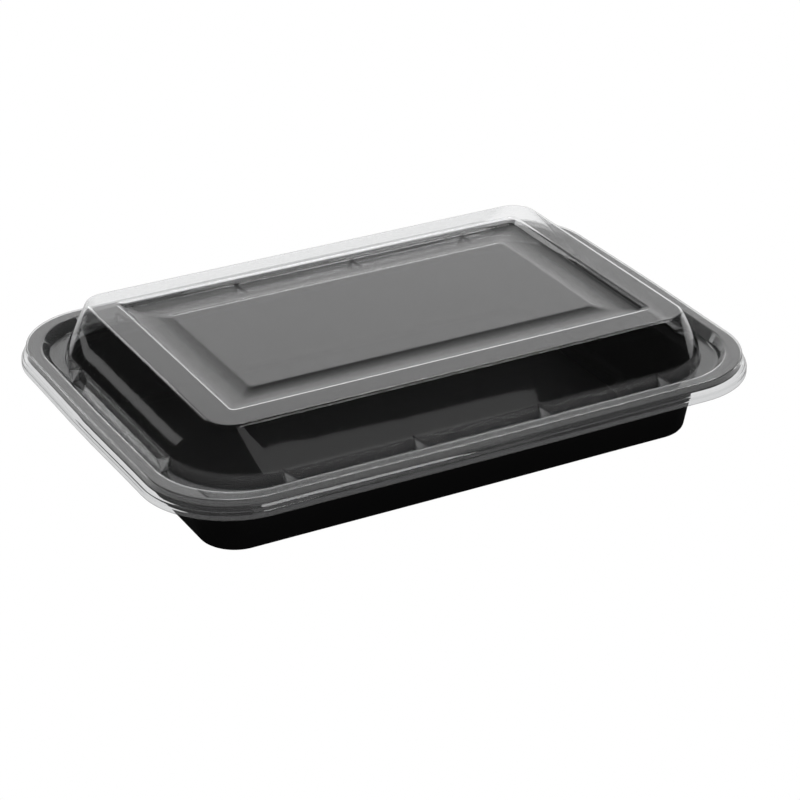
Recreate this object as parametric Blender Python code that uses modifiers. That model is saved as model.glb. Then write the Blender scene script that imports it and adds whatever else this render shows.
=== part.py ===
# Takeaway meal container: a black tray and a clear lid that presses on over its rim.
# Metres, +Z up. The origin is at the centre of the tray's base, on the ground.

import math

import bmesh
import bpy

# Driving sizes, in millimetres. Half sizes are along X and Y.
MM = 0.001
RIM_TOP = 30.2
RIM_HALF = (111.0, 77.8)
RIM_RADIUS = 29.5
SIDE_BOW = 0.5
ARC_STEPS = 7
SIDE_STEPS = 4

TRAY_WALL = 0.7
BASE_HALF = (90.4, 57.4)
BASE_RADIUS = 10.7
BASE_EDGE_ROUND = 2.6
BASE_FOOT_DROP = 0.5
BASE_FOOT_INSET = 3.0
BASE_PANEL_INSET = 8.5
BASE_PANEL_RISE = 0.8
LEDGE_INSET = 13.6
LEDGE_RADIUS = 21.4
BODY_BOW = 0.2

LID_WALL = 0.5
PLATEAU_HALF = (89.65, 56.45)
PLATEAU_RADIUS = 8.4
PLATEAU_RISE = 14.8
GROOVE_HALF = (79.7, 45.8)
GROOVE_RADIUS = 2.0
PANEL_HALF = (65.85, 30.9)
PANEL_RADIUS = 1.6
PANEL_RISE = 13.0
PANEL_STEP = 1.9
CHANNEL_DROP = 3.9
DOME_FOOT_INSET = 10.6
DOME_FOOT_RADIUS = 28.0

LONG_SIDE_LUG_LENGTH = 6.0
SHORT_SIDE_LUG_LENGTH = 10.0
LUG_REACH = 2.6
LUG_HEIGHT = 5.1
LUG_SPACING = 47.1
LONG_SIDE_LUGS = 4
LONG_SIDE_START = -71.8
SHORT_SIDE_STARTS = (-42.0, 31.5)


def clear_scene():
    for item in list(bpy.data.objects):
        bpy.data.objects.remove(item, do_unlink=True)


def make_collection(name):
    made = bpy.data.collections.new(name)
    bpy.context.scene.collection.children.link(made)
    return made


def make_material(name, colour, roughness, alpha=1.0):
    made = bpy.data.materials.new(name)
    made.use_nodes = True
    shader = made.node_tree.nodes["Principled BSDF"]
    shader.inputs["Base Color"].default_value = (*colour, 1.0)
    shader.inputs["Roughness"].default_value = roughness
    shader.inputs["Metallic"].default_value = 0.0
    shader.inputs["Alpha"].default_value = alpha
    return made


def ring_points(half, radius, height, bow):
    """A rounded rectangle, counter-clockwise from above, with sides that bow out a little."""
    half_x, half_y = half
    straight_x = half_x - radius
    straight_y = half_y - radius
    corners = [(straight_x, straight_y), (-straight_x, straight_y)]
    corners += [(-straight_x, -straight_y), (straight_x, -straight_y)]
    points = []
    for quarter, (centre_x, centre_y) in enumerate(corners):
        for step in range(ARC_STEPS + 1):
            turn = math.pi / 2 * (quarter + step / ARC_STEPS)
            points.append((centre_x + radius * math.cos(turn), centre_y + radius * math.sin(turn)))
        start = points[-1]
        after_x, after_y = corners[(quarter + 1) % 4]
        turn = math.pi / 2 * (quarter + 1)
        end = (after_x + radius * math.cos(turn), after_y + radius * math.sin(turn))
        for step in range(1, SIDE_STEPS):
            share = step / SIDE_STEPS
            push = bow * (1 - (2 * share - 1) ** 2)
            x = start[0] + (end[0] - start[0]) * share + push * math.cos(turn)
            y = start[1] + (end[1] - start[1]) * share + push * math.sin(turn)
            points.append((x, y))
    return [(x * MM, y * MM, height * MM) for x, y in points]


def inset_ring(inset, drop, radius, bow=SIDE_BOW):
    """A ring measured from the rim's outer edge: inset inwards, drop below the rim's top."""
    half = (RIM_HALF[0] - inset, RIM_HALF[1] - inset)
    return ring_points(half, radius, RIM_TOP - drop, bow)


def loft(name, rings, material, collection):
    """An open sheet through the rings, from the first to the last, which is filled flat."""
    mesh = bpy.data.meshes.new(name)
    sheet = bmesh.new()
    rows = [[sheet.verts.new(point) for point in ring] for ring in rings]
    count = len(rows[0])
    for outer, inner in zip(rows, rows[1:]):
        for i in range(count):
            j = (i + 1) % count
            sheet.faces.new((outer[i], outer[j], inner[j], inner[i]))
    sheet.faces.new(rows[-1])
    bmesh.ops.recalc_face_normals(sheet, faces=sheet.faces)
    if sheet.faces[-1].normal.z < 0:
        bmesh.ops.reverse_faces(sheet, faces=sheet.faces)
    sheet.to_mesh(mesh)
    sheet.free()
    mesh.materials.append(material)
    mesh.shade_smooth()
    mesh.set_sharp_from_angle(angle=math.radians(30))
    made = bpy.data.objects.new(name, mesh)
    collection.objects.link(made)
    return made


def thicken(item, wall, offset):
    solidify = item.modifiers.new("Wall", "SOLIDIFY")
    solidify.thickness = wall * MM
    solidify.offset = offset
    solidify.use_even_offset = True
    solidify.use_quality_normals = True


def tray_rings():
    """The tray's inner face, from the lip of its rim down to its floor."""
    rings = [
        inset_ring(0.8, 4.4, RIM_RADIUS - 0.7),
        inset_ring(0.85, 2.2, RIM_RADIUS - 0.75),
        inset_ring(1.1, 1.3, RIM_RADIUS - 1.0),
        inset_ring(1.7, 0.9, RIM_RADIUS - 1.5),
        inset_ring(3.75, 0.9, RIM_RADIUS - 1.4),
    ]
    rings.append(inset_ring(8.7, 6.5, RIM_RADIUS - 7.0))
    rings.append(inset_ring(LEDGE_INSET - 0.7, 6.6, LEDGE_RADIUS + 0.6, BODY_BOW))
    rings.append(inset_ring(LEDGE_INSET, 7.2, LEDGE_RADIUS, BODY_BOW))
    floor = TRAY_WALL + BASE_FOOT_DROP
    wall_foot = math.tan(math.radians(90 - 16.5) / 2) * (BASE_EDGE_ROUND - TRAY_WALL)
    flat_half = (BASE_HALF[0] - 0.1, BASE_HALF[1] - 0.1)
    inner_round = BASE_EDGE_ROUND - TRAY_WALL
    for turn in (73.5, 50, 25, 0):
        swing = math.radians(turn)
        out = inner_round * math.sin(swing)
        up = floor + inner_round * (1 - math.cos(swing))
        half = (flat_half[0] + out, flat_half[1] + out)
        rings.append(ring_points(half, BASE_RADIUS + out, up, BODY_BOW))
    floor = TRAY_WALL
    foot_half = (flat_half[0] - BASE_FOOT_INSET, flat_half[1] - BASE_FOOT_INSET)
    rings.append(ring_points(foot_half, BASE_RADIUS - BASE_FOOT_INSET, floor, BODY_BOW / 2))
    step_half = (flat_half[0] - BASE_PANEL_INSET + wall_foot, flat_half[1] - BASE_PANEL_INSET + wall_foot)
    rings.append(ring_points(step_half, BASE_RADIUS - 3, floor, 0))
    panel_half = (step_half[0] - 0.9, step_half[1] - 0.9)
    rings.append(ring_points(panel_half, BASE_RADIUS - 3.9, floor + BASE_PANEL_RISE, 0))
    return rings


def lid_rings():
    """The lid's upper face, from the lip of its skirt up to its centre panel."""
    rings = [
        inset_ring(-1.9, 6.2, RIM_RADIUS + 1.9),
        inset_ring(-1.8, 4.4, RIM_RADIUS + 1.8),
        inset_ring(-1.0, 3.2, RIM_RADIUS + 1.0),
        inset_ring(-0.3, 2.4, RIM_RADIUS + 0.3),
        inset_ring(0.0, 1.0, RIM_RADIUS),
        inset_ring(0.8, 0.0, RIM_RADIUS - 0.6),
        inset_ring(4.4, 0.0, RIM_RADIUS - 0.9),
        inset_ring(7.6, CHANNEL_DROP, RIM_RADIUS - 5.2),
        inset_ring(DOME_FOOT_INSET, CHANNEL_DROP, DOME_FOOT_RADIUS),
        inset_ring(DOME_FOOT_INSET + 0.5, -0.4, DOME_FOOT_RADIUS + 0.3),
    ]
    lift = RIM_TOP + PLATEAU_RISE
    edge_half = (PLATEAU_HALF[0] + 0.3, PLATEAU_HALF[1] + 0.3)
    rings.append(ring_points(edge_half, PLATEAU_RADIUS + 0.3, lift - 0.5, SIDE_BOW))
    inner_half = (PLATEAU_HALF[0] - 0.6, PLATEAU_HALF[1] - 0.6)
    rings.append(ring_points(inner_half, PLATEAU_RADIUS - 0.5, lift, SIDE_BOW))
    rings.append(ring_points(GROOVE_HALF, GROOVE_RADIUS, lift, SIDE_BOW))
    groove_floor = RIM_TOP + PANEL_RISE - PANEL_STEP
    foot_half = (PANEL_HALF[0] + 0.35, PANEL_HALF[1] + 0.35)
    for turn in (20, 40, 62, 90):
        swing = math.radians(turn)
        share = 1 - math.cos(swing)
        half_x = GROOVE_HALF[0] + (foot_half[0] - GROOVE_HALF[0]) * share
        half_y = GROOVE_HALF[1] + (foot_half[1] - GROOVE_HALF[1]) * share
        up = lift + (groove_floor - lift) * math.sin(swing)
        rings.append(ring_points((half_x, half_y), GROOVE_RADIUS, up, SIDE_BOW * (1 - share)))
    rings.append(ring_points(PANEL_HALF, PANEL_RADIUS, RIM_TOP + PANEL_RISE, 0))
    return rings


def make_lug(name, length, place, turn, side, material, collection):
    """A fin on the foot of the dome: an upright three-cornered end, and a crest that falls away from it."""
    foot = RIM_TOP - CHANNEL_DROP
    sunk = foot - 0.2
    top = foot + LUG_HEIGHT
    corners = [
        (0.0, -0.6, sunk),
        (0.0, LUG_REACH, sunk),
        (0.0, -1.1, top),
        (0.0, -0.5, top),
        (length, -0.6, sunk),
        (length, 0.2, sunk),
        (length, -0.6, foot + 0.3),
    ]
    mesh = bpy.data.meshes.new(name)
    shape = bmesh.new()
    for along, out, height in corners:
        x = place[0] + along * math.cos(turn) - side * out * math.sin(turn)
        y = place[1] + along * math.sin(turn) + side * out * math.cos(turn)
        shape.verts.new((x * MM, y * MM, height * MM))
    bmesh.ops.convex_hull(shape, input=shape.verts)
    bmesh.ops.recalc_face_normals(shape, faces=shape.faces)
    shape.to_mesh(mesh)
    shape.free()
    mesh.materials.append(material)
    made = bpy.data.objects.new(name, mesh)
    made.hide_render = True
    made.display_type = "WIRE"
    collection.objects.link(made)
    return made


def lug_places():
    """Each lug's length, start on the dome's foot line, the way its crest falls, and the side that it reaches to."""
    foot_x = RIM_HALF[0] - DOME_FOOT_INSET
    foot_y = RIM_HALF[1] - DOME_FOOT_INSET
    places = []
    for i in range(LONG_SIDE_LUGS):
        x = LONG_SIDE_START + i * LUG_SPACING
        places.append((LONG_SIDE_LUG_LENGTH, (x, -foot_y), 0, -1))
        places.append((LONG_SIDE_LUG_LENGTH, (x, foot_y), 0, 1))
    for y in SHORT_SIDE_STARTS:
        places.append((SHORT_SIDE_LUG_LENGTH, (foot_x, y), math.pi / 2, -1))
        places.append((SHORT_SIDE_LUG_LENGTH, (-foot_x, y), math.pi / 2, 1))
    return places


def build():
    clear_scene()
    parts = make_collection("takeaway_meal_container")
    tools = make_collection("cutters")
    black = make_material("black_plastic", (0.012, 0.012, 0.013), 0.3)
    clear = make_material("clear_plastic", (0.82, 0.83, 0.84), 0.12, 0.35)

    tray = loft("tray", tray_rings(), black, parts)
    thicken(tray, TRAY_WALL, -1.0)

    lid = loft("lid", lid_rings(), clear, parts)
    thicken(lid, LID_WALL, -1.0)
    for i, (length, place, turn, side) in enumerate(lug_places()):
        lug = make_lug(f"lug_{i + 1:02d}", length, place, turn, side, clear, tools)
        join = lid.modifiers.new(f"Lug {i + 1}", "BOOLEAN")
        join.operation = "UNION"
        join.object = lug


build()
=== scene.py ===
import math

import bmesh
import bpy
from mathutils import Matrix, Vector


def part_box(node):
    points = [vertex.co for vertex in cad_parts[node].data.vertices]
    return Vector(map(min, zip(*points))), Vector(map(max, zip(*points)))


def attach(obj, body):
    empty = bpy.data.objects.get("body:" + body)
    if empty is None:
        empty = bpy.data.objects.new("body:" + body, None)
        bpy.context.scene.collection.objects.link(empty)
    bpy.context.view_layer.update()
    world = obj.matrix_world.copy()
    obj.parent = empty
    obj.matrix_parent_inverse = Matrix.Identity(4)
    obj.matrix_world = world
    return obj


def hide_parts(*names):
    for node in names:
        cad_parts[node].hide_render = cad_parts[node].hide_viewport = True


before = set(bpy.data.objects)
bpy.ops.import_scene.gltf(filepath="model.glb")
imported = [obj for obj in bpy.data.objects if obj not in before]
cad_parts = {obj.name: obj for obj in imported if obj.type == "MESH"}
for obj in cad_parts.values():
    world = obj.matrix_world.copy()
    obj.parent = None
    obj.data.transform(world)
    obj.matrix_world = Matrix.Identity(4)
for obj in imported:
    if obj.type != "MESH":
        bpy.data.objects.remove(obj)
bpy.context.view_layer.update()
mm = 0.001

# Sizes are in millimetres. Insets run inwards from the rim's outer edge, drops down from its top.
lidOverTray = 0.9
rim = {
    "halfX": 111.0,
    "halfY": 77.8,
    "radius": 29.5,
    "top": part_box("tray")[1].z / mm + lidOverTray,
    "bow": 0.5,
}
smoothness = {
    "cornerSteps": 18,
    "sideSteps": 10,
    "foldSteps": 4,
    "foldLimit": 0.48,
    "sharpAngle": 40,
    "flatsWeight": 60,
}


# Rings and folds: a ring is its shape, as ringPoints takes it, and the reach of its fold

def ringOf(half, radius, height, fold=0.0, bow=None):
    return [half[0], half[1], radius, height, rim["bow"] if bow is None else bow], fold


def ringAt(inset, drop, radius, fold=0.0, bow=None):
    half = (rim["halfX"] - inset, rim["halfY"] - inset)
    return ringOf(half, radius, rim["top"] - drop, fold, bow)


def foldRings(rings):
    # rounds each ring that asks for a fold, by a short curve between its neighbours
    steps = smoothness["foldSteps"]
    shapes = [shape for shape, fold in rings]
    folded = []
    for i, (shape, fold) in enumerate(rings):
        if fold == 0 or i in (0, len(rings) - 1):
            folded.append(shape)
            continue
        ends = []
        for other in (shapes[i - 1], shapes[i + 1]):
            gap = math.hypot(other[0] - shape[0], other[3] - shape[3])
            share = min(fold, smoothness["foldLimit"] * gap) / gap
            ends.append([a + (b - a) * share for a, b in zip(shape, other)])
        for step in range(steps + 1):
            t = step / steps
            weights = ((1 - t) ** 2, 2 * t * (1 - t), t * t)
            trios = zip(ends[0], shape, ends[1])
            folded.append([sum(w * v for w, v in zip(weights, trio)) for trio in trios])
    return folded


def ringPoints(halfX, halfY, radius, height, bow):
    # a rounded rectangle seen from above, counter-clockwise, with sides that bow out a little
    straightX, straightY = halfX - radius, halfY - radius
    corners = [(straightX, straightY), (-straightX, straightY)]
    corners += [(-straightX, -straightY), (straightX, -straightY)]
    cornerSteps, sideSteps = smoothness["cornerSteps"], smoothness["sideSteps"]
    points = []
    for quarter, centre in enumerate(corners):
        for step in range(cornerSteps + 1):
            turn = math.pi / 2 * (quarter + step / cornerSteps)
            x = centre[0] + radius * math.cos(turn)
            y = centre[1] + radius * math.sin(turn)
            points.append((x, y))
        after = corners[(quarter + 1) % 4]
        turn = math.pi / 2 * (quarter + 1)
        outX, outY = math.cos(turn), math.sin(turn)
        for step in range(1, sideSteps):
            share = step / sideSteps
            push = radius + bow * math.sin(math.pi * share) ** 2
            x = centre[0] + (after[0] - centre[0]) * share + push * outX
            y = centre[1] + (after[1] - centre[1]) * share + push * outY
            points.append((x, y))
    return [(x * mm, y * mm, height * mm) for x, y in points]


# Pieces

def makePiece(name, shape):
    # a new object from a bmesh, which is freed
    mesh = bpy.data.meshes.new(name)
    shape.to_mesh(mesh)
    shape.free()
    piece = bpy.data.objects.new(name, mesh)
    bpy.context.scene.collection.objects.link(piece)
    return piece


def settle(piece):
    # turns a piece and its modifiers into a plain mesh
    seen = piece.evaluated_get(bpy.context.evaluated_depsgraph_get())
    mesh = bpy.data.meshes.new_from_object(seen)
    piece.modifiers.clear()
    piece.data = mesh
    return piece


def makeShell(name, rings, wall, material):
    # a closed wall: an open sheet through the rings, filled at the last one, then thickened
    sheet = bmesh.new()
    rows = [[sheet.verts.new(point) for point in ringPoints(*shape)] for shape in foldRings(rings)]
    count = len(rows[0])
    for outer, inner in zip(rows, rows[1:]):
        for i in range(count):
            j = (i + 1) % count
            sheet.faces.new((outer[i], outer[j], inner[j], inner[i]))
    middle = sheet.faces.new(rows[-1])
    bmesh.ops.recalc_face_normals(sheet, faces=sheet.faces)
    if middle.normal.z < 0:
        bmesh.ops.reverse_faces(sheet, faces=sheet.faces)
    shell = makePiece(name, sheet)
    thicken = shell.modifiers.new("Wall", "SOLIDIFY")
    thicken.thickness = wall * mm
    thicken.offset = -1.0
    thicken.use_even_offset = True
    thicken.use_quality_normals = True
    shell.data.materials.append(material)
    return settle(shell)


def smoothOff(piece):
    # smooth shading in which the large flats stay flat between their rounded edges
    piece.data.shade_smooth()
    piece.data.set_sharp_from_angle(angle=math.radians(smoothness["sharpAngle"]))
    even = piece.modifiers.new("Flats", "WEIGHTED_NORMAL")
    even.keep_sharp = True
    even.weight = smoothness["flatsWeight"]
    return settle(piece)


# Nodes, of shaders and of geometry

def feed(tree, node, inputs):
    # links each input that is given a socket, and sets each that is given a value
    for name, value in inputs.items():
        if isinstance(value, bpy.types.NodeSocket):
            tree.links.new(value, node.inputs[name])
        else:
            node.inputs[name].default_value = value
    return node


def addNode(tree, kind, inputs, **settings):
    node = tree.nodes.new(kind)
    for name, value in settings.items():
        setattr(node, name, value)
    return feed(tree, node, inputs).outputs


def plainMath(tree, operation, *values):
    inputs = dict(enumerate(values))
    return addNode(tree, "ShaderNodeMath", inputs, operation=operation)["Value"]


def vectorMath(tree, operation, *values):
    return addNode(tree, "ShaderNodeVectorMath", dict(enumerate(values)), operation=operation)


# Lid

lidSizes = {
    "wall": 0.4,
    # out from the rim's edge, drop and fold of each ring from the skirt's lip up to that edge
    "skirtRings": [
        (1.9, 6.5, 0.0),
        (1.8, 4.8, 0.3),
        (1.3, 4.2, 0.25),
        (1.2, 3.7, 0.15),
        (1.1, 3.45, 0.25),
        (0.3, 2.5, 0.3),
        (0.2, 2.0, 0.4),
        (0.0, 0.0, 0.6),
    ],
    "rimInset": 4.4,
    "rimRadius": 28.6,
    "channelInset": 7.6,
    "channelRadius": 24.3,
    "channelDrop": 3.9,
    "footInset": 10.6,
    "footRadius": 28.0,
    "bandLean": 0.5,
    "bandRise": 0.4,
    "bandRadius": 28.3,
    "plateauHalf": (89.65, 56.45),
    "plateauRadius": 8.4,
    "plateauRise": 14.8,
    "grooveHalf": (79.7, 45.8),
    "grooveRadius": 2.0,
    "grooveSlope": 0.25,
    "grooveSteps": 10,
    "stepDrop": 1.7,
    "stepWidth": 1.95,
    "panelHalf": (65.85, 30.9),
    "panelDrop": 1.8,
    "middleInset": 4,
    "folds": {
        "rim": 0.6,
        "channel": 0.9,
        "foot": 0.3,
        "band": 0.8,
        "plateau": 0.9,
        "groove": 0.7,
        "step": 0.6,
        "panel": 0.6,
    },
}


def lidRings(sizes):
    folds, radius = sizes["folds"], sizes["grooveRadius"]
    floor, band = sizes["channelDrop"], sizes["footInset"] + sizes["bandLean"]
    lift = rim["top"] + sizes["plateauRise"]
    rings = [
        ringAt(-out, drop, rim["radius"] + out, fold) for out, drop, fold in sizes["skirtRings"]
    ]
    rings += [
        ringAt(sizes["rimInset"], 0.0, sizes["rimRadius"], folds["rim"]),
        ringAt(sizes["channelInset"], floor, sizes["channelRadius"], folds["channel"]),
        ringAt(sizes["footInset"], floor, sizes["footRadius"], folds["foot"], bow=0),
        ringAt(band, -sizes["bandRise"], sizes["bandRadius"], folds["band"], bow=0),
        ringOf(sizes["plateauHalf"], sizes["plateauRadius"], lift, folds["plateau"], bow=0),
        ringOf(sizes["grooveHalf"], radius, lift, folds["groove"], bow=0),
    ]
    # the groove: a step down, then a shallow trough that rises to the panel's edge
    step = [half - sizes["stepWidth"] for half in sizes["grooveHalf"]]
    panel = sizes["panelHalf"]
    rings.append(ringOf(step, radius, lift - sizes["stepDrop"], folds["step"], bow=0))
    fall = sizes["grooveSlope"] * (step[0] - panel[0])
    rise = fall + sizes["stepDrop"] - sizes["panelDrop"]
    for i in range(1, sizes["grooveSteps"] + 1):
        share = i / sizes["grooveSteps"]
        half = [a + (b - a) * share for a, b in zip(step, panel)]
        dip = sizes["stepDrop"] + fall * share - rise * share ** 2
        rings.append(ringOf(half, radius, lift - dip, folds["panel"] if share == 1 else 0, bow=0))
    middle = [half - sizes["middleInset"] for half in panel]
    rings.append(ringOf(middle, radius, lift - sizes["panelDrop"], bow=0))
    return rings


# Fins on the lid's foot, one row along each side

finSizes = {
    "longLength": 6.0,
    "longSpacing": 47.1,
    "longStart": -71.8,
    "longCount": 4,
    "shortLength": 10.0,
    "shortSpacing": 73.5,
    "shortStart": -42.0,
    "shortCount": 2,
    "reach": 2.6,
    "height": 5.1,
    "root": 0.6,
    "sink": 0.2,
    "edge": 0.1,
    "crest": (1.1, 0.5),
    "thinHeight": 0.3,
    "skin": 0.5,
    "frontSkin": 0.8,
    "hollowBack": 3.0,
    "hollowSink": 0.9,
    "hollowCrest": 0.9,
    "hollowCap": 1.7,
    "hollowEnd": 2.2,
    "hollowTip": (0.2, 0.4),
}


def finShape(name, sizes, length, hollow):
    # at the origin: it runs along +X, reaches towards -Y and stands on the channel's floor
    top, sink, edge = sizes["height"], sizes["sink"], sizes["edge"]
    if hollow:
        back, low, high = sizes["hollowBack"], -sizes["hollowSink"], top - sizes["hollowCap"]
        front = sizes["frontSkin"] - sizes["reach"]
        tipLow, tipHigh = sizes["hollowTip"]
        crest = (sizes["hollowCrest"], high)
        tall = [(back, low), (front, low), (front, -sink), crest, (back, high)]
        thin = [(back, low), (tipLow, low), (tipHigh, edge), (back, edge)]
        ends = (sizes["skin"], length - sizes["hollowEnd"])
    else:
        root, front = sizes["root"], -sizes["reach"]
        tall = [(root, -sink), (front, -sink), (front, edge), *((y, top) for y in sizes["crest"])]
        thin = [(root, -sink), (-sink, -sink), (root, sizes["thinHeight"])]
        ends = (0.0, length)
    shape = bmesh.new()
    for x, section in zip(ends, (tall, thin)):
        for y, z in section:
            shape.verts.new((x * mm, y * mm, z * mm))
    bmesh.ops.convex_hull(shape, input=shape.verts)
    bmesh.ops.recalc_face_normals(shape, faces=shape.faces)
    return makePiece(name, shape)


def finRowTree():
    # stands copies of a fin in a row, turned by an angle, and gives them a material
    tree = bpy.data.node_groups.new("Fin Row", "GeometryNodeTree")
    kinds = {
        "Geometry": "Geometry",
        "Fin": "Object",
        "Count": "Int",
        "Start": "Vector",
        "Step": "Vector",
        "Turn": "Float",
        "Flip": "Float",
        "Material": "Material",
    }
    for name, kind in kinds.items():
        tree.interface.new_socket(name, in_out="INPUT", socket_type=f"NodeSocket{kind}")
    tree.interface.new_socket("Geometry", in_out="OUTPUT", socket_type="NodeSocketGeometry")
    given = tree.nodes.new("NodeGroupInput").outputs
    places = {"Count": given["Count"], "Start Location": given["Start"], "Offset": given["Step"]}
    line = addNode(tree, "GeometryNodeMeshLine", places, mode="OFFSET")
    picked = addNode(tree, "GeometryNodeObjectInfo", {"Object": given["Fin"]})
    turned = addNode(tree, "ShaderNodeCombineXYZ", {"Z": given["Turn"]})
    size = addNode(tree, "ShaderNodeCombineXYZ", {"X": 1.0, "Y": given["Flip"], "Z": 1.0})
    stood = {
        "Points": line["Mesh"],
        "Instance": picked["Geometry"],
        "Rotation": turned["Vector"],
        "Scale": size["Vector"],
    }
    copies = addNode(tree, "GeometryNodeInstanceOnPoints", stood)
    real = addNode(tree, "GeometryNodeRealizeInstances", {"Geometry": copies["Instances"]})
    look = {"Geometry": real["Geometry"], "Material": given["Material"]}
    dressed = addNode(tree, "GeometryNodeSetMaterial", look)
    addNode(tree, "NodeGroupOutput", {"Geometry": dressed["Geometry"]})
    return tree


def makeFins(name, sizes, material, tree, hollow):
    sockets = {
        item.name: item.identifier for item in tree.interface.items_tree if item.in_out == "INPUT"
    }
    shapes = {}
    for kind in ("long", "short"):
        length = f"{kind}Length"
        shapes[kind] = finShape(f"{name}_{length}", sizes, sizes[length], hollow)
    foot = rim["top"] - lidSizes["channelDrop"]
    footX, footY = (rim[half] - lidSizes["footInset"] for half in ("halfX", "halfY"))
    rows = {
        "front": ("long", (sizes["longStart"], -footY), 1.0),
        "back": ("long", (sizes["longStart"], footY), -1.0),
        "right": ("short", (footX, sizes["shortStart"]), 1.0),
        "left": ("short", (-footX, sizes["shortStart"]), -1.0),
    }
    made = bmesh.new()
    for side, (kind, start, flip) in rows.items():
        row = bpy.data.objects.new(f"finRow_{side}", bpy.data.meshes.new(f"finRow_{side}"))
        bpy.context.scene.collection.objects.link(row)
        spacing = sizes[f"{kind}Spacing"] * mm
        settings = {
            "Fin": shapes[kind],
            "Count": sizes[f"{kind}Count"],
            "Start": (start[0] * mm, start[1] * mm, foot * mm),
            "Step": (spacing, 0.0, 0.0) if kind == "long" else (0.0, spacing, 0.0),
            "Turn": 0.0 if kind == "long" else math.pi / 2,
            "Flip": flip,
            "Material": material,
        }
        nodes = row.modifiers.new("Fin Row", "NODES")
        nodes.node_group = tree
        for socket, value in settings.items():
            nodes[sockets[socket]] = value
        settle(row)
        made.from_mesh(row.data)
        bpy.data.objects.remove(row, do_unlink=True)
    bmesh.ops.recalc_face_normals(made, faces=made.faces)
    fins = makePiece(name, made)
    fins.data.materials.append(material)
    for shape in shapes.values():
        bpy.data.objects.remove(shape, do_unlink=True)
    return fins


def makeLid(sizes, material):
    lid = makeShell("clearLid", lidRings(sizes), sizes["wall"], material)
    tree = finRowTree()
    steps = [("finSkins", "UNION", False), ("finHollows", "DIFFERENCE", True)]
    for name, operation, hollow in steps:
        fins = makeFins(name, finSizes, material, tree, hollow)
        join = lid.modifiers.new(name, "BOOLEAN")
        join.operation = operation
        join.object = fins
        settle(lid)
        bpy.data.objects.remove(fins, do_unlink=True)
    return smoothOff(lid)


# Tray

traySizes = {
    "wall": 0.7,
    # inset, drop, radius and fold of each ring from the lip over the rim and down its slope
    "rimRings": [
        (0.5, 3.4, 29.0, 0.0),
        (0.5, 0.5, 29.0, 0.6),
        (3.75, 0.5, 28.1, 0.5),
        (8.7, 6.5, 22.5, 0.7),
    ],
    "ledgeInset": 13.6,
    "ledgeDrop": 6.6,
    "ledgeRadius": 21.4,
    "ledgeFold": 0.8,
    "bodyBow": 0.2,
    "baseHalf": (90.3, 57.3),
    "baseRadius": 10.7,
    "baseRound": 1.9,
    "baseTurns": (73.5, 60, 45, 30, 15, 0),
    "baseFold": 0.3,
    "footDrop": 0.3,
    "footInset": 1.2,
    "panelInset": 6.6,
    "panelSlope": 0.9,
    "panelRise": 0.8,
    "panelRadius": 6.8,
    "middleInset": 4,
    "middleRadius": 3,
}


def trayRings(sizes):
    wall, bow, fold = sizes["wall"], sizes["bodyBow"], sizes["baseFold"]
    rings = [ringAt(*values) for values in sizes["rimRings"]]
    ledge = (sizes["ledgeInset"], sizes["ledgeDrop"], sizes["ledgeRadius"], sizes["ledgeFold"])
    rings.append(ringAt(*ledge, bow=bow))
    for turn in sizes["baseTurns"]:
        swing = math.radians(turn)
        out = sizes["baseRound"] * math.sin(swing)
        height = wall + sizes["footDrop"] + sizes["baseRound"] * (1 - math.cos(swing))
        half = [side + out for side in sizes["baseHalf"]]
        rings.append(ringOf(half, sizes["baseRadius"] + out, height, bow=bow))
    foot = [side - sizes["footInset"] for side in sizes["baseHalf"]]
    step = [side - sizes["panelInset"] for side in sizes["baseHalf"]]
    panel = [side - sizes["panelSlope"] for side in step]
    middle = [side - sizes["middleInset"] for side in panel]
    raised = wall + sizes["panelRise"]
    rings += [
        ringOf(foot, sizes["baseRadius"] - sizes["footInset"], wall, fold, bow=0),
        ringOf(step, sizes["panelRadius"] + sizes["panelSlope"], wall, fold, bow=0),
        ringOf(panel, sizes["panelRadius"], raised, fold, bow=0),
        ringOf(middle, sizes["middleRadius"], raised, bow=0),
    ]
    return rings


def makeTray(sizes, material):
    return smoothOff(makeShell("blackTray", trayRings(sizes), sizes["wall"], material))


# Materials

lidLook = {
    "skirtTint": (0.66, 0.665, 0.67, 1),
    "tint": (0.98, 0.982, 0.985, 1),
    "tintFade": (-4.5, -0.5),
    "lowClearness": 0.97,
    "clearness": 1.0,
    "clearFade": (0, 1.2),
    "finClearness": 0.88,
    "finBack": (0.1, 0.4),
    "finFront": (2.4, 2.7),
    "finFoot": (0.2, 0.6),
    "cornerHalf": (78.0, 46.0),
    "cornerFade": (0.0, 1.0),
    "grain": {"Scale": 50.0, "Strength": 0.02, "Distance": 0.00015},
}
trayGrain = {"Scale": 900.0, "Strength": 0.1, "Distance": 0.00005}


def newMaterial(name):
    material = bpy.data.materials.new(name)
    material.use_nodes = True
    return material, material.node_tree.nodes["Principled BSDF"], material.node_tree


def addBump(tree, shader, grain):
    # a fine moulded grain, as bump on Object coordinates
    where = tree.nodes.new("ShaderNodeTexCoord").outputs["Object"]
    noise = {"Vector": where, "Scale": grain["Scale"], "Detail": 3.0}
    height = addNode(tree, "ShaderNodeTexNoise", noise)["Fac"]
    bump = {"Strength": grain["Strength"], "Distance": grain["Distance"], "Height": height}
    feed(tree, shader, {"Normal": addNode(tree, "ShaderNodeBump", bump)["Normal"]})


def ramp(tree, value, span, start, end, unit=mm):
    # start below the span and end above it, with a straight slope between; both may be sockets
    ends = {"From Min": span[0] * unit, "From Max": span[1] * unit, "To Min": start, "To Max": end}
    return addNode(tree, "ShaderNodeMapRange", {"Value": value, **ends})["Result"]


def beyondBox(tree, place, half):
    # how far a place lies past the sides of a rectangle round the origin, in X and in Y
    size = vectorMath(tree, "ABSOLUTE", place)["Vector"]
    return vectorMath(tree, "SUBTRACT", size, (*half, 0))["Vector"]


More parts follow.
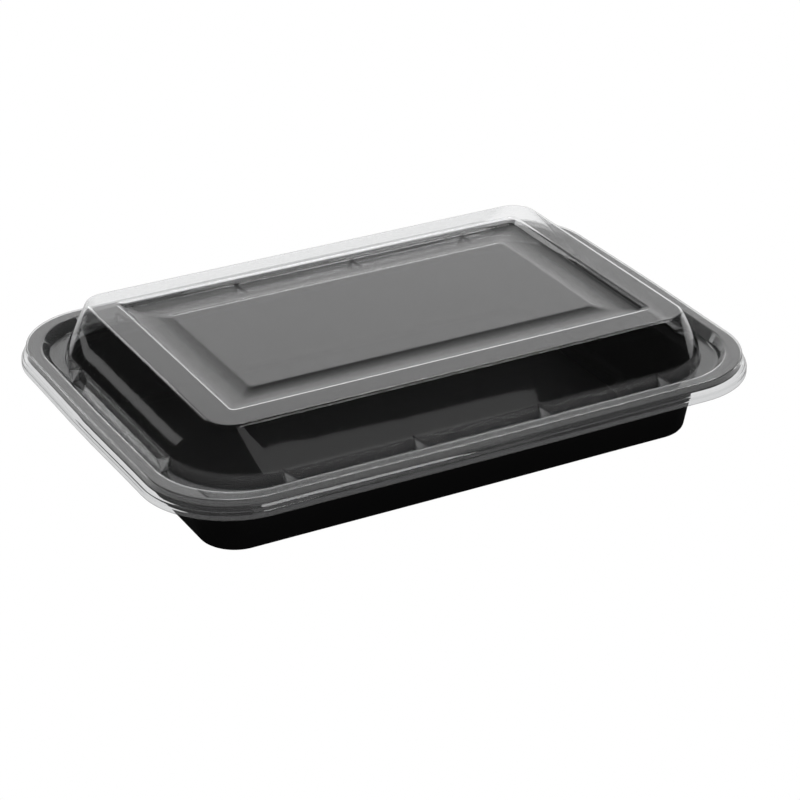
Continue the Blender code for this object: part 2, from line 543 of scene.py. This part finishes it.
def pastSides(tree, place, half, operation):
    # the larger or the smaller of those two distances
    beyond = beyondBox(tree, place, [side * mm for side in half])
    parts = addNode(tree, "ShaderNodeSeparateXYZ", {"Vector": beyond})
    return plainMath(tree, operation, parts["X"], parts["Y"])


def clearPlastic(look):
    material, shader, tree = newMaterial("clearPlastic")
    where = tree.nodes.new("ShaderNodeTexCoord").outputs["Object"]
    height = addNode(tree, "ShaderNodeSeparateXYZ", {"Vector": where})["Z"]
    top, inset = rim["top"], lidSizes["footInset"]
    floor = top - lidSizes["channelDrop"]

    def fade(name, level):
        return [level + limit for limit in look[name]]

    # the skirt is greyer than the rest; all below the dome's wall is a little milky, the fins most
    tint = {
        "Factor": ramp(tree, height, fade("tintFade", top), 0.0, 1.0),
        "A": look["skirtTint"],
        "B": look["tint"],
    }
    colour = addNode(tree, "ShaderNodeMix", tint, data_type="RGBA")["Result"]
    foot = (rim["halfX"] - inset, rim["halfY"] - inset)
    beyondFoot = pastSides(tree, where, foot, "MAXIMUM")
    beyondCorner = pastSides(tree, where, look["cornerHalf"], "MINIMUM")
    fin = ramp(tree, beyondFoot, look["finBack"], 0.0, 1.0)
    fin = ramp(tree, beyondFoot, look["finFront"], fin, 0.0)
    fin = ramp(tree, height, fade("finFoot", floor), 0.0, fin)
    fin = ramp(tree, beyondCorner, look["cornerFade"], fin, 0.0)
    clear = ramp(tree, height, fade("clearFade", top), look["lowClearness"], look["clearness"])
    levels = {
        "Base Color": colour,
        "Transmission Weight": ramp(tree, fin, (0, 1), clear, look["finClearness"], unit=1),
        "Roughness": 0.02,
        "IOR": 1.49,
    }
    feed(tree, shader, levels)
    addBump(tree, shader, look["grain"])
    return material


def blackPlastic():
    material, shader, tree = newMaterial("blackPlastic")
    levels = {
        "Base Color": (0.002, 0.002, 0.0021, 1),
        "Roughness": 0.42,
        "IOR": 1.49,
        "Specular IOR Level": 0.03,
    }
    feed(tree, shader, levels)
    addBump(tree, shader, trayGrain)
    return material


# Studio, in metres and degrees. Azimuth 0 is behind the container, 90 to its right.

studio = {
    "floorSize": 12.0,
    "floorGap": 0.0001,
    "floorGlow": 1.0,
    "floorInGloss": 0.65,
    "shadeHalf": (0.1, 0.067),
    "shadeReach": 0.02,
    "shadeDepth": 0.04,
    "roomGlow": 0.036,
    "backLeft": -22,
    "backRight": 62,
    "backSoftness": 4,
    "backFoot": 0.45,
    "backTop": 0.76,
    "backGlow": 0.89,
}

# glow 1 is paper white
cards = {
    "overheadCard": dict(azimuth=134, elevation=58, distance=1.6, size=(1.2, 0.45), glow=1.8),
    "ridgeCard": dict(azimuth=146, elevation=45, distance=1.6, size=(0.9, 0.22), glow=6.0),
    "edgeCard": dict(azimuth=47, elevation=54.5, distance=1.6, size=(0.4, 0.36), glow=5.0),
    "backCard": dict(azimuth=-7, elevation=33.5, distance=2.0, size=(0.75, 0.2), glow=3.2),
    "leftBackCard": dict(azimuth=-29, elevation=25.5, distance=2.0, size=(0.36, 0.42), glow=0.8),
    "sideStrip": dict(
        azimuth=-35.0, elevation=10.6, distance=2.0, size=(0.24, 0.012), glow=1.0, roll=14
    ),
    "frontCard": dict(
        azimuth=167.3, elevation=25, distance=2.0, size=(1.15, 1.035), glow=0.85, roll=-10
    ),
}

photoView = {
    "azimuth": -28.691,
    "elevation": 26.973,
    "lens": 121.04,
    "sensor": 36.0,
    "place": (-0.39856, -0.74055, 0.43648),
}


def pointAt(azimuth, elevation):
    a, e = math.radians(azimuth), math.radians(elevation)
    return Vector((math.sin(a) * math.cos(e), math.cos(a) * math.cos(e), math.sin(e)))


def seenInGloss(tree):
    # 1 for light that a glossy face has reflected, 0 where it comes straight or through the lid
    depth = tree.nodes.new("ShaderNodeLightPath").outputs["Glossy Depth"]
    return plainMath(tree, "GREATER_THAN", depth, 0.5)


def makeFloor():
    place = (0, 0, -studio["floorGap"])
    bpy.ops.mesh.primitive_plane_add(size=studio["floorSize"], location=place)
    floor = bpy.context.object
    floor.name = "studioFloor"
    material, shader, tree = newMaterial("paleFloor")
    # in reflections the floor is darker, with a painted shadow that is darkest close to the tray's
    # base
    where = tree.nodes.new("ShaderNodeTexCoord").outputs["Object"]
    beyond = beyondBox(tree, where, studio["shadeHalf"])
    outside = vectorMath(tree, "MAXIMUM", beyond, (0, 0, 0))["Vector"]
    shade = {
        "Value": vectorMath(tree, "LENGTH", outside)["Value"],
        "From Max": studio["shadeReach"],
        "To Min": studio["shadeDepth"],
        "To Max": studio["floorInGloss"],
    }
    mirrored = addNode(tree, "ShaderNodeMapRange", shade, interpolation_type="SMOOTHSTEP")["Result"]
    glow = {"Value": seenInGloss(tree), "To Min": studio["floorGlow"], "To Max": mirrored}
    levels = {
        "Base Color": (0.0, 0.0, 0.0, 1),
        "Roughness": 0.9,
        "Specular IOR Level": 0.0,
        "Emission Color": (1, 1, 1, 1),
        "Emission Strength": addNode(tree, "ShaderNodeMapRange", glow)["Result"],
    }
    feed(tree, shader, levels)
    floor.data.materials.append(material)


def makeWorld():
    # seen straight it is white; in reflections it is a dim room with a bright backdrop behind
    world = bpy.data.worlds.new("studio")
    bpy.context.scene.world = world
    world.use_nodes = True
    tree = world.node_tree
    where = tree.nodes.new("ShaderNodeTexCoord").outputs["Generated"]
    soft = math.sin(math.radians(studio["backSoftness"]))
    edges = [
        (pointAt(studio["backLeft"] + 90, 0), -soft, soft, "SMOOTHSTEP"),
        (pointAt(studio["backRight"] - 90, 0), -soft, soft, "SMOOTHSTEP"),
        (Vector((0, 0, -1)), -studio["backTop"], -studio["backFoot"], "LINEAR"),
    ]
    backdrop = studio["backGlow"]
    for inward, dark, bright, slope in edges:
        facing = vectorMath(tree, "DOT_PRODUCT", where, inward)["Value"]
        fade = {"Value": facing, "From Min": dark, "From Max": bright, "To Max": backdrop}
        backdrop = addNode(tree, "ShaderNodeMapRange", fade, interpolation_type=slope)["Result"]
    lit = plainMath(tree, "ADD", backdrop, studio["roomGlow"])
    choice = {"Factor": seenInGloss(tree), "A": 1.0, "B": lit}
    sky = {"Color": (1, 1, 1, 1), "Strength": addNode(tree, "ShaderNodeMix", choice)["Result"]}
    feed(tree, tree.nodes["Background"], sky)


def addCard(name, azimuth, elevation, distance, size, glow, roll=0):
    # a light card that hangs in that direction from the container and faces it
    out = pointAt(azimuth, elevation)
    light = bpy.data.lights.new(name, "AREA")
    light.shape = "RECTANGLE"
    light.size, light.size_y = size
    light.energy = glow * math.pi * size[0] * size[1]
    card = bpy.data.objects.new(name, light)
    card.location = out * distance
    card.rotation_mode = "QUATERNION"
    spin = Matrix.Rotation(math.radians(roll), 3, "Z").to_quaternion()
    card.rotation_quaternion = out.to_track_quat("Z", "Y") @ spin
    card.visible_camera = False
    card.visible_transmission = False
    bpy.context.scene.collection.objects.link(card)


def makeCamera(view):
    back = pointAt(180 - view["azimuth"], view["elevation"])
    turn = math.radians(view["azimuth"])
    right = Vector((math.cos(turn), math.sin(turn), 0))
    facing = Matrix((right, back.cross(right), back)).transposed()
    data = bpy.data.cameras.new("photoCamera")
    data.lens = view["lens"]
    data.sensor_width = view["sensor"]
    camera = bpy.data.objects.new("photoCamera", data)
    camera.matrix_world = Matrix.Translation(view["place"]) @ facing.to_4x4()
    bpy.context.scene.collection.objects.link(camera)
    bpy.context.scene.camera = camera


def build():
    bpy.context.scene.view_settings.view_transform = "Standard"
    makeFloor()
    makeWorld()
    for name, settings in cards.items():
        addCard(name, **settings)
    makeCamera(photoView)
    print("studio ready")
    lid = makeLid(lidSizes, clearPlastic(lidLook))
    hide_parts("lid")
    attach(lid, "lid")
    print("lid ready", len(lid.data.polygons))
    tray = makeTray(traySizes, blackPlastic())
    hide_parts("tray")
    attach(tray, "tray")
    print("tray ready", len(tray.data.polygons))


build()
